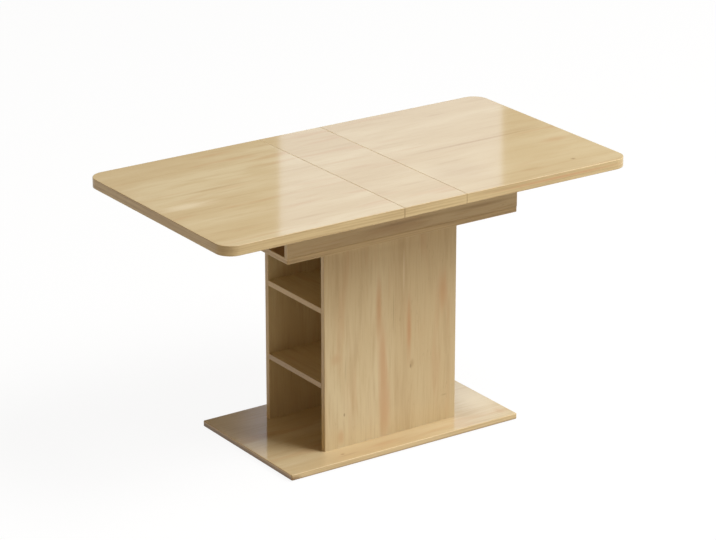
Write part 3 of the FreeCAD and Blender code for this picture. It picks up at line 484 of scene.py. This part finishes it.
# Zinc-plated steel: a bright grey with the soft cloudiness that the plating bath leaves.
bath_cloud = 1.5
zinc_fastener = speckled(
    "bright_zinc_plated_screw_steel", {"Metallic": 1.0}, speck=(bath_cloud,) * 3, fineness=3.0,
    tones=("#b4b7ba", "#cfd0cc"), roughness=(0.24, 0.4))
joining_screw = turned(
    "turned_joining_screw",
    ("Head", "Rim", "Shank", "Head height", "Collar", "Core", "Point", "Tip", "Length", "Socket", "Key",
     "Wound", "Pitch", "Ridge"),
    (("0", "0"), ("Head - Rim", "0"), ("Head", "Rim"), ("Shank", "Head height"), ("Shank", "Collar"),
     ("Core", "Collar + Rim"), ("Core", "Point"), ("Tip", "Length"), ("0", "Length")),
    around=24, finishing=socket_and_thread)
for group, way in (("base_screws", Z_WAY), ("apron_screws", -Z_WAY), ("rail_screws", Z_WAY)):
    set_out(f"threaded_{group}", joining_screw, group, way, "plated_fastener", zinc_fastener, spin=math.tau,
            head=5, rim=0.4, shank=3.5, head_height=3, collar=12, core=2.5, point=46, tip=0.8, length=50,
            socket=2.31, key=5, wound=35, pitch=3, ridge=1)

# Pedestal: two upright panels of the same faced board, their grain upright, with edging on the two
# upright edges that show. They stand on the base plate, with the shelves between them.

# A rosy streak down the middle in three lengths, shorter ones beside it, knots, fine dark lines and
# one pale line.
panel_marks = [
    ((-40, 0, 395), (14, 0, 130), OAK_ROSE, 0.75),
    ((-28, 0, 250), (22, 0, 160), OAK_ROSE, 0.65),
    ((-20, 0, 110), (28, 0, 170), OAK_ROSE, 0.7),
    ((60, 0, 320), (12, 0, 130), OAK_ROSE, 0.95),
    ((70, 0, 213), (11, 0, 18), OAK_TAN, 0.7),
    ((66, 0, 206), (4, 0, 9), OAK_DARK, 0.6),
    ((172, 0, 405), (21, 0, 90), OAK_ROSE, 0.75),
    ((-180, 0, 280), (25, 0, 24), OAK_ROSE, 0.4),
    ((-149, 0, 243), (4, 0, 58), OAK_DARK, 0.25),
    ((-165, 0, 50), (18, 0, 32), OAK_ROSE, 0.5),
    ((-153, 0, 113), (4, 0, 8), OAK_DARK, 0.75),
    ((180, 0, 95), (14, 0, 4), OAK_DARK, 0.3),
    ((8, 0, 378), (3, 0, 84), OAK_DARK, 0.3),
    ((42, 0, 490), (6, 0, 95), OAK_CREAM, 0.4),
]
dress(oak_melamine("oak_melamine_front_panel", grain="Z", face=Y_WAY, cut_from=(0, 0, 140), dullness=0.36,
                   emboss=0.1, figure=1.1, marks=panel_marks),
      "front_panel")
dress(oak_melamine("oak_melamine_back_panel", grain="Z", face=Y_WAY, cut_from=(900, 0, 700), dullness=0.36,
                   emboss=0.1, figure=1.2),
      "back_panel")
upright_edging = oak_edging("oak_printed_abs_upright", lines_across=(300, 6, 300), thin=Y_WAY,
                            pale="#cfb88b", dark="#b09469")
dress(upright_edging, "front_panel_edging", "back_panel_edging")

# Divider and shelves: a board across the middle of the pedestal, on dowels, and two shelves on each
# side of it with edging on their open ends.
dress(oak_melamine("oak_melamine_divider", grain="Z", face=X_WAY, cut_from=(400, 300, 0), dullness=0.36,
                   emboss=0.1, figure=1.2),
      "centre_divider")
shelves = [f"{side}_{level}_shelf" for side in ("left", "right") for level in ("lower", "upper")]
dress(oak_melamine("oak_melamine_shelves", grain="Y", face=Z_WAY, cut_from=(0, 500, 0), dullness=0.3,
                   emboss=0.1, figure=1.2),
      *shelves)
# The edging of the lower shelves is darkened: painted shade, as they get less light than the upper ones.
lower_shelf_shade = [((0, 0, 207), (0, 0, 40), OAK_DARK, 0.45)]
level_edging = oak_edging("oak_printed_abs_level", lines_across=(300, 300, 6), thin=Z_WAY,
                          pale="#cfb88b", dark="#b09469", marks=lower_shelf_shade)
dress(level_edging, *(f"{shelf}_edging" for shelf in shelves))

# Dowels: beech pins with pressed grooves and bevelled ends, glued half into the panels and half into
# the shelves and the divider.

# Beech, planed: pale pinkish brown with short darker flecks along the grain.
beech, tree, shader, place = new_finish("planed_beech", {"IOR": 1.5, "Roughness": 0.62})
fleck_size = (0.4 * MM, 3 * MM, 0.4 * MM)
fleck_place = add(tree, "ShaderNodeMapping", {"Vector": place, "Scale": [1 / size for size in fleck_size]})
flecks = add(tree, "ShaderNodeTexNoise", {"Vector": fleck_place, "Scale": 1.0, "Detail": 2.0})
shown = add(tree, "ShaderNodeMapRange", {"Value": flecks, "From Min": 0.5, "From Max": 0.7},
            interpolation_type="SMOOTHSTEP")
beech_tone = add(tree, "ShaderNodeMix", {"Factor": shown, "A": linear("#d9b98c"), "B": linear("#b58d60")},
                 data_type="RGBA")
wire(shader, {"Base Color": beech_tone})

dowel_tree = turned(
    "fluted_dowel",
    ("Radius", "Bevel", "Length", "Flute"),
    (("0", "0"), ("Radius - Bevel", "0"), ("Radius", "Bevel"), ("Radius", "Length - Bevel"),
     ("Radius - Bevel", "Length"), ("0", "Length")),
    around=40, flutes="Flute")
for group in ("shelf_dowels", "divider_dowels"):
    set_out(f"fluted_{group}", dowel_tree, group, Y_WAY, "beech", beech, both_ways=True,
            radius=4, bevel=1, length=30, flute=0.35)

# Cam fittings: die-cast zinc drums let into the undersides of the shelves. A screwdriver in the cross
# turns a drum, which pulls on the headed bolt that is screwed into the panel.


def cross_recess(tree, piece, given):
    """Cuts a cross for the screwdriver into the near face."""
    for along, across in (("Arm", "Blade"), ("Blade", "Arm")):
        size = add(tree, "ShaderNodeCombineXYZ", {"X": given[along], "Y": given[across], "Z": given["Depth"]})
        blade = add(tree, "GeometryNodeMeshCube", {"Size": size})
        piece = add(tree, "GeometryNodeMeshBoolean", {"Mesh 1": piece, "Mesh 2": blade},
                    operation="DIFFERENCE", solver="EXACT")
    return piece


# Zinc alloy, die-cast and tumbled: a flat mid grey with faint flow marks.
flow_mark = 2.5
cast_zinc = speckled(
    "tumbled_die_cast_zinc", {"Metallic": 1.0}, speck=(flow_mark,) * 3, fineness=4.0,
    tones=("#8f9193", "#a9abad"), roughness=(0.42, 0.6), relief=(0.3, 0.05))
cam_tree = turned(
    "cam_drum",
    ("Drum", "Bevel", "Height", "Arm", "Blade", "Depth"),
    (("0", "0"), ("Drum - Bevel", "0"), ("Drum", "Bevel"), ("Drum", "Height - Bevel"),
     ("Drum - Bevel", "Height"), ("0", "Height")),
    around=36, finishing=cross_recess)
set_out("cross_slotted_shelf_cams", cam_tree, "shelf_cams", Z_WAY, "cast_zinc", cast_zinc, spin=0.6,
        drum=7.5, bevel=0.4, height=12.5, arm=10, blade=1.8, depth=4)
bolt_tree = turned(
    "headed_cam_bolt",
    ("Stem", "Flange", "Rim", "Head", "Neck", "Waist", "Core", "Length", "Collar", "Wound", "Pitch", "Ridge",
     "Socket", "Key"),
    (("0", "0"), ("Stem", "0"), ("Flange", "Rim"), ("Flange", "Head - Rim"), ("Neck", "Head"),
     ("Neck", "Head + Rim"), ("Stem", "Head + Rim + Rim"), ("Stem", "Waist - Rim"), ("Flange", "Waist - Rim"),
     ("Flange", "Waist"), ("Core", "Waist"), ("Core", "Length"), ("0", "Length")),
    around=24, finishing=socket_and_thread)
set_out("headed_shelf_cam_bolts", bolt_tree, "shelf_cam_bolts", Y_WAY, "plated_fastener", zinc_fastener,
        both_ways=True, stem=2.5, flange=3, rim=1, head=5, neck=1.7, waist=24, core=2, length=36,
        collar=24.8, wound=10.4, pitch=2.6, ridge=1, socket=1.3, key=3)

# Apron box: a level board screwed down on the pedestal, with two rails standing on it along the sides.
# It is open at both ends, and the leaf lies in it when it is not in use.

# Painted light: the board's inner face is painted a warmer brown, standing in for warm light that reaches
# into the box through its open ends.
painted_inner_warm_light = [((0, 0, 627), (0, 0, 12), "#c08a4a", 0.7)]
dress(oak_melamine("oak_melamine_apron_bottom", grain="X", face=Z_WAY, cut_from=(-800, 200, 0), dullness=0.45,
                   emboss=0.08, figure=1.2, marks=painted_inner_warm_light),
      "apron_bottom")
# The front rail has two long dark streaks in its print, and painted shade over it, darkest along its top and
# at its right end.
rail_streaks_and_painted_shade = [
    ((0, 0, 656), (210, 0, 7), OAK_DARK, 0.55),
    ((240, 0, 654), (150, 0, 8), OAK_DARK, 0.5),
    # Painted shade: the overhang of the top shades the rail, most along its top and at its right end.
    ((0, 0, 670), (900, 0, 150), OAK_DARK, 0.22),
    ((330, 0, 700), (180, 0, 40), OAK_DARK, 0.35),
]
dress(oak_melamine("oak_melamine_front_rail", grain="X", face=Y_WAY, cut_from=(150, 0, 900), dullness=0.34,
                   emboss=0.1, figure=2.6, marks=rail_streaks_and_painted_shade),
      "front_rail")
dress(oak_melamine("oak_melamine_back_rail", grain="X", face=Y_WAY, cut_from=(-450, 0, 260), dullness=0.34,
                   emboss=0.1, figure=2.0),
      "back_rail")
dress(level_edging, "apron_bottom_edging")
dress(upright_edging, "front_rail_edging", "back_rail_edging")

# Ball slides: roll-formed steel channels screwed inside the rails, and sliders that run in them on
# caged balls. Steel angles riveted to the sliders are screwed up into the halves of the top.

# Zinc-plated strip: bright grey, with faint lines along it from the rollers. The real lines are a
# tenth of a millimetre wide, and are drawn coarse so that they show.
roll_length, roll_width = 60, 1.2
zinc_strip = speckled(
    "zinc_plated_steel_strip", {"Metallic": 1.0}, speck=(roll_length, roll_width, roll_width), fineness=3.0,
    tones=("#a8abae", "#c6c8ca"), roughness=(0.26, 0.42), relief=(0.12, 0.05))
for side in ("left", "right"):
    for rank in ("front", "back"):
        dress(zinc_strip, *(f"{side}_{rank}_{part}" for part in ("channel", "slider", "ball_cage", "angle")))

small_screw = turned(
    "turned_small_screw",
    ("Crown", "Rim", "Head", "Head height", "Core", "Collar", "Point", "Tip", "Length", "Socket", "Key",
     "Wound", "Pitch", "Ridge"),
    (("0", "0"), ("Crown", "0"), ("Head - Rim", "Rim"), ("Head", "Rim + Rim"), ("Head", "Head height"),
     ("Core", "Head height"), ("Core", "Point"), ("Tip", "Length"), ("0", "Length")),
    around=24, finishing=socket_and_thread)
small_head = dict(crown=2.6, rim=0.5, head=3.75, head_height=2, core=1.4, tip=0.4, socket=1.44, key=2.4,
                  pitch=1.4, ridge=0.6)
set_out("threaded_slide_screws", small_screw, "slide_screws", Y_WAY, "plated_fastener", zinc_fastener,
        both_ways=True, spin=math.tau, **small_head, collar=2.6, point=13, length=15.2, wound=10)
rivet_tree = turned(
    "domed_rivet",
    ("Crown", "Dome", "Rim", "Head", "Stem", "Length"),
    (("0", "0"), ("Crown", "0"), ("Head - Rim", "Dome - Rim"), ("Head", "Dome"), ("Head", "Dome + Rim"),
     ("Stem", "Dome + Rim"), ("Stem", "Length - Dome - Rim"), ("Head", "Length - Dome - Rim"),
     ("Head", "Length - Dome"), ("Head - Rim", "Length - Dome + Rim"), ("Crown", "Length"), ("0", "Length")),
    around=24)
for side in ("left", "right"):
    set_out(f"threaded_{side}_angle_screws", small_screw, f"{side}_angle_screws", Z_WAY, "plated_fastener",
            zinc_fastener, spin=math.tau, **small_head, collar=4.2, point=15.5, length=18, wound=11)
    set_out(f"domed_{side}_slider_rivets", rivet_tree, f"{side}_slider_rivets", Y_WAY, "plated_fastener",
            zinc_fastener, both_ways=True, crown=2.4, dome=0.9, rim=0.3, head=3.5, stem=2, length=5.6)

# Table top: two halves and a leaf of 28 mm faced chipboard, edged all round, each cut from its own
# place on the sheet. The outer corners are rounded, and the pieces meet in two fine seams.

# The left half has a pale patch near its end, and soft tan and rosy streaks.
left_marks = [
    ((-420, 61, 0), (195, 9, 0), OAK_TAN, 0.5),
    ((-380, 45, 0), (75, 14, 0), OAK_ROSE, 0.2),
    ((-465, -90, 0), (48, 10, 0), OAK_ROSE, 0.35),
    ((-560, -23, 0), (125, 34, 0), OAK_CREAM, 0.85),
    ((-285, 305, 0), (95, 15, 0), OAK_ROSE, 0.35),
    ((-127, 300, 0), (50, 18, 0), OAK_TAN, 0.2),
    ((-345, -265, 0), (85, 9, 0), OAK_TAN, 0.4),
]
leaf_marks = [((30, -200, 0), (68, 10, 0), OAK_TAN, 0.3)]
# The right half has a long dark streak down its middle, a knot near its front corner, and darker drifts.
right_marks = [
    ((380, 0, 0), (290, 9, 0), OAK_TAN, 0.9),
    ((570, 18, 0), (115, 22, 0), OAK_TAN, 0.3),
    ((225, -107, 0), (82, 9, 0), OAK_TAN, 0.35),
    ((435, 258, 0), (52, 8, 0), OAK_TAN, 0.4),
    ((575, -110, 0), (68, 30, 0), OAK_ROSE, 0.5),
    ((365, -280, 0), (50, 11, 0), OAK_TAN, 0.4),
    ((512, -275, 0), (11, 8, 0), OAK_DARK, 0.75),
    ((420, -150, 0), (300, 200, 0), OAK_HONEY, 0.75),
    ((190, -190, 0), (140, 130, 0), OAK_TAN, 0.35),
]
for node, cut_from, marks in (("left_top", (0, 40, 0), left_marks), ("leaf", (700, -500, 0), leaf_marks),
                              ("right_top", (-900, 300, 0), right_marks)):
    dress(oak_melamine(f"oak_melamine_{node}", grain="X", face=Z_WAY, cut_from=cut_from, dullness=0.04,
                       emboss=0.006, figure=0.7, marks=marks),
          node)
# A rosy line in the right half's band, and the joints in the band, which are finer on a real table
# and are drawn wide so that they show.
heart_line = ((400, 0, 743), (310, 0, 6), OAK_ROSE, 0.8)
joint_lines = [((x, y, 0), (2.5, 8, 0), OAK_DARK, strength)
               for x, strength in ((-100, 0.8), (100, 0.3)) for y in (-350, 350)]
top_edging = oak_edging("oak_printed_abs_top", lines_across=(300, 300, 6), thin=Z_WAY, pale="#cfba8d",
                        dark="#b39a6f", marks=[heart_line, *joint_lines])
dress(top_edging, "left_top_edging", "right_top_edging", "leaf_edging")

# Leaf studs: white nylon pins with a collar, pressed up into the leaf. They drop into holes in the
# rails, and the collars carry the leaf level with the halves.

# Nylon, moulded: a milky white with a satin skin, slightly hazy from place to place.
haze = 6
nylon = speckled("moulded_white_nylon", {"IOR": 1.53, "Roughness": 0.42}, speck=(haze,) * 3, fineness=2.0,
                 tones=("#dcdcd6", "#e9e9e4"))
stud_tree = turned(
    "collared_stud",
    ("Stud", "Lead", "Pin", "Collar", "Lift", "Length"),
    (("0", "0"), ("Stud - Lead", "0"), ("Stud", "Lead"), ("Stud", "Pin"), ("Collar", "Pin"),
     ("Collar", "Pin + Lift"), ("Stud", "Pin + Lift"), ("Stud", "Length - Lead"), ("Stud - Lead", "Length"),
     ("0", "Length")),
    around=32)
set_out("collared_leaf_studs", stud_tree, "leaf_studs", Z_WAY, "white_plastic", nylon,
        stud=4, lead=0.8, pin=10, collar=7, lift=1, length=25)

# Studio: a wide white floor, a soft key lamp high at the front right, a weak warm fill lamp on the
# left, and a dim room with a pale wall low down and a tall lit panel, which the boards mirror.
scene = bpy.context.scene
scene.view_settings.view_transform = "Standard"
floor_reach = 60.0
corners = [(x * floor_reach, y * floor_reach, 0) for x, y in ((-1, -1), (1, -1), (1, 1), (-1, 1))]
floor_mesh = bpy.data.meshes.new("studio_floor")
floor_mesh.from_pydata(corners, [], [(0, 1, 2, 3)])
floor = bpy.data.objects.new("studio_floor", floor_mesh)
scene.collection.objects.link(floor)


def seen_rays(tree):
    """1 for rays that come from the camera, a mirror or glass, and 0 for those that only carry light."""
    ray = add(tree, "ShaderNodeLightPath").outputs
    seen = add(tree, "ShaderNodeMath", {0: ray["Is Camera Ray"], 1: ray["Is Glossy Ray"]}, operation="ADD")
    return add(tree, "ShaderNodeMath", {0: seen, 1: ray["Is Transmission Ray"]}, operation="ADD",
               use_clamp=True)


# Matt white paint: it glows nearly to white where it is seen, so that only a soft shadow shows on it.
# The light that it throws back on the table is that of a warm grey floor.
white_floor = bpy.data.materials.new("matt_white_floor_paint")
white_floor.use_nodes = True
tree = white_floor.node_tree
seen = seen_rays(tree)
coat = add(tree, "ShaderNodeMix", {"Factor": seen, "A": linear("#b8ae9c"), "B": linear("#ffffff")},
           data_type="RGBA")
paint = add(tree, "ShaderNodeBsdfDiffuse", {"Color": coat})
glow = add(tree, "ShaderNodeEmission", {"Color": linear("#ffffff"), "Strength": 1.0})
glow_share = 0.92
glowing = add(tree, "ShaderNodeMath", {0: seen, 1: glow_share}, operation="MULTIPLY")
surface = add(tree, "ShaderNodeMixShader", {0: glowing, 1: paint, 2: glow})
wire(tree.nodes["Material Output"], {"Surface": surface})
floor_mesh.materials.append(white_floor)


def lamp(name, place, aim, size, brightness, colour):
    """A square or oblong soft lamp; brightness is what it gives a white card held up to it at its aim."""
    light = bpy.data.lights.new(name, "AREA")
    light.shape = "RECTANGLE"
    light.size, light.size_y = size
    light.color = linear(colour)[:3]
    way = aim - place
    light.energy = brightness * math.pi ** 2 * way.length_squared
    holder = bpy.data.objects.new(name, light)
    holder.location = place
    holder.rotation_euler = way.to_track_quat("-Z", "Y").to_euler()
    holder.visible_camera = False
    scene.collection.objects.link(holder)


def from_table(azimuth, elevation, distance):
    """A place round the table: azimuth 0 is in front of it, and turns towards its right end."""
    turn, rise = math.radians(azimuth), math.radians(elevation)
    level = distance * math.cos(rise)
    return Vector((math.sin(turn) * level, -math.cos(turn) * level, math.sin(rise) * distance))


middle = Vector((0, 0, 0.4))
lamp("key_softbox", from_table(azimuth=46, elevation=53, distance=10), middle, size=(5.8, 5.8),
     brightness=1.31, colour="#ffffff")
lamp("left_fill", from_table(azimuth=-80, elevation=30, distance=7), middle, size=(4, 4),
     brightness=0.055, colour="#ffd6a0")

# The room: dim above, with a wall low down that is seen as white. Heights in it are sines of the angle
# above the horizon.
world = bpy.data.worlds.new("studio_room")
scene.world = world
world.use_nodes = True
tree = world.node_tree
way = add(tree, "ShaderNodeTexCoord").outputs["Generated"]
rise = add(tree, "ShaderNodeSeparateXYZ", {0: way}).outputs["Z"]
wall_fades, wall_ends = 0.13, 0.25
wall = add(tree, "ShaderNodeMapRange",
           {"Value": rise, "From Min": wall_fades, "From Max": wall_ends, "To Min": 1.0, "To Max": 0.0},
           interpolation_type="SMOOTHSTEP")
white_wall = add(tree, "ShaderNodeMath", {0: wall, 1: seen_rays(tree)}, operation="MULTIPLY")

# The lit panel stands behind the table as the camera sees it, and is wider higher up on its left side.
# Its edges are sines of the angle from its middle line: where its light begins, and where it is full.
view_turn = math.radians(34.319)
panel_way = (math.sin(view_turn), math.cos(view_turn), 0.0)
panel_side = (math.cos(view_turn), -math.sin(view_turn), 0.0)
bearing = add(tree, "ShaderNodeVectorMath", {0: way, 1: panel_side}, operation="DOT_PRODUCT").outputs["Value"]
ahead = add(tree, "ShaderNodeVectorMath", {0: way, 1: panel_way}, operation="DOT_PRODUCT").outputs["Value"]
widens_from, widens_to, wider_by = 0.345, 0.365, 0.011
wider = add(tree, "ShaderNodeMapRange",
            {"Value": rise, "From Min": widens_from, "From Max": widens_to, "To Max": wider_by})
from_left = add(tree, "ShaderNodeMath", {0: bearing, 1: wider}, operation="ADD")
panel = add(tree, "ShaderNodeMath", {0: ahead, 1: 0.0}, operation="GREATER_THAN")
for reach, outside, inside in ((from_left, -0.0264, -0.0252), (bearing, 0.048, 0.0466)):
    within = add(tree, "ShaderNodeMapRange", {"Value": reach, "From Min": outside, "From Max": inside},
                 interpolation_type="SMOOTHSTEP")
    panel = add(tree, "ShaderNodeMath", {0: panel, 1: within}, operation="MULTIPLY")

room_level = 0.2
strength = room_level
for part, level in ((wall, 0.4), (white_wall, 0.4), (panel, 0.9)):
    strength = add(tree, "ShaderNodeMath", {0: part, 1: level, 2: strength}, operation="MULTIPLY_ADD")
air = linear("#ffe8ca")
for part, colour in ((white_wall, "#ffffff"), (panel, "#e8efff")):
    air = add(tree, "ShaderNodeMix", {"Factor": part, "A": air, "B": linear(colour)}, data_type="RGBA")
wire(tree.nodes["Background"], {"Color": air, "Strength": strength})

# Camera: a long lens from the left front, above the table. Its place, dip and lens are those with
# which the table's edges fall where they do in the photograph.
view_dip = math.radians(20.346)
camera_data = bpy.data.cameras.new("camera")
camera_data.sensor_width = 36.0
camera_data.lens = 153.264
camera = bpy.data.objects.new("camera", camera_data)
camera.location = (-4.410538, -6.448494, 3.352052)
camera.rotation_euler = (math.pi / 2 - view_dip, 0, -view_turn)
scene.collection.objects.link(camera)
scene.camera = camera
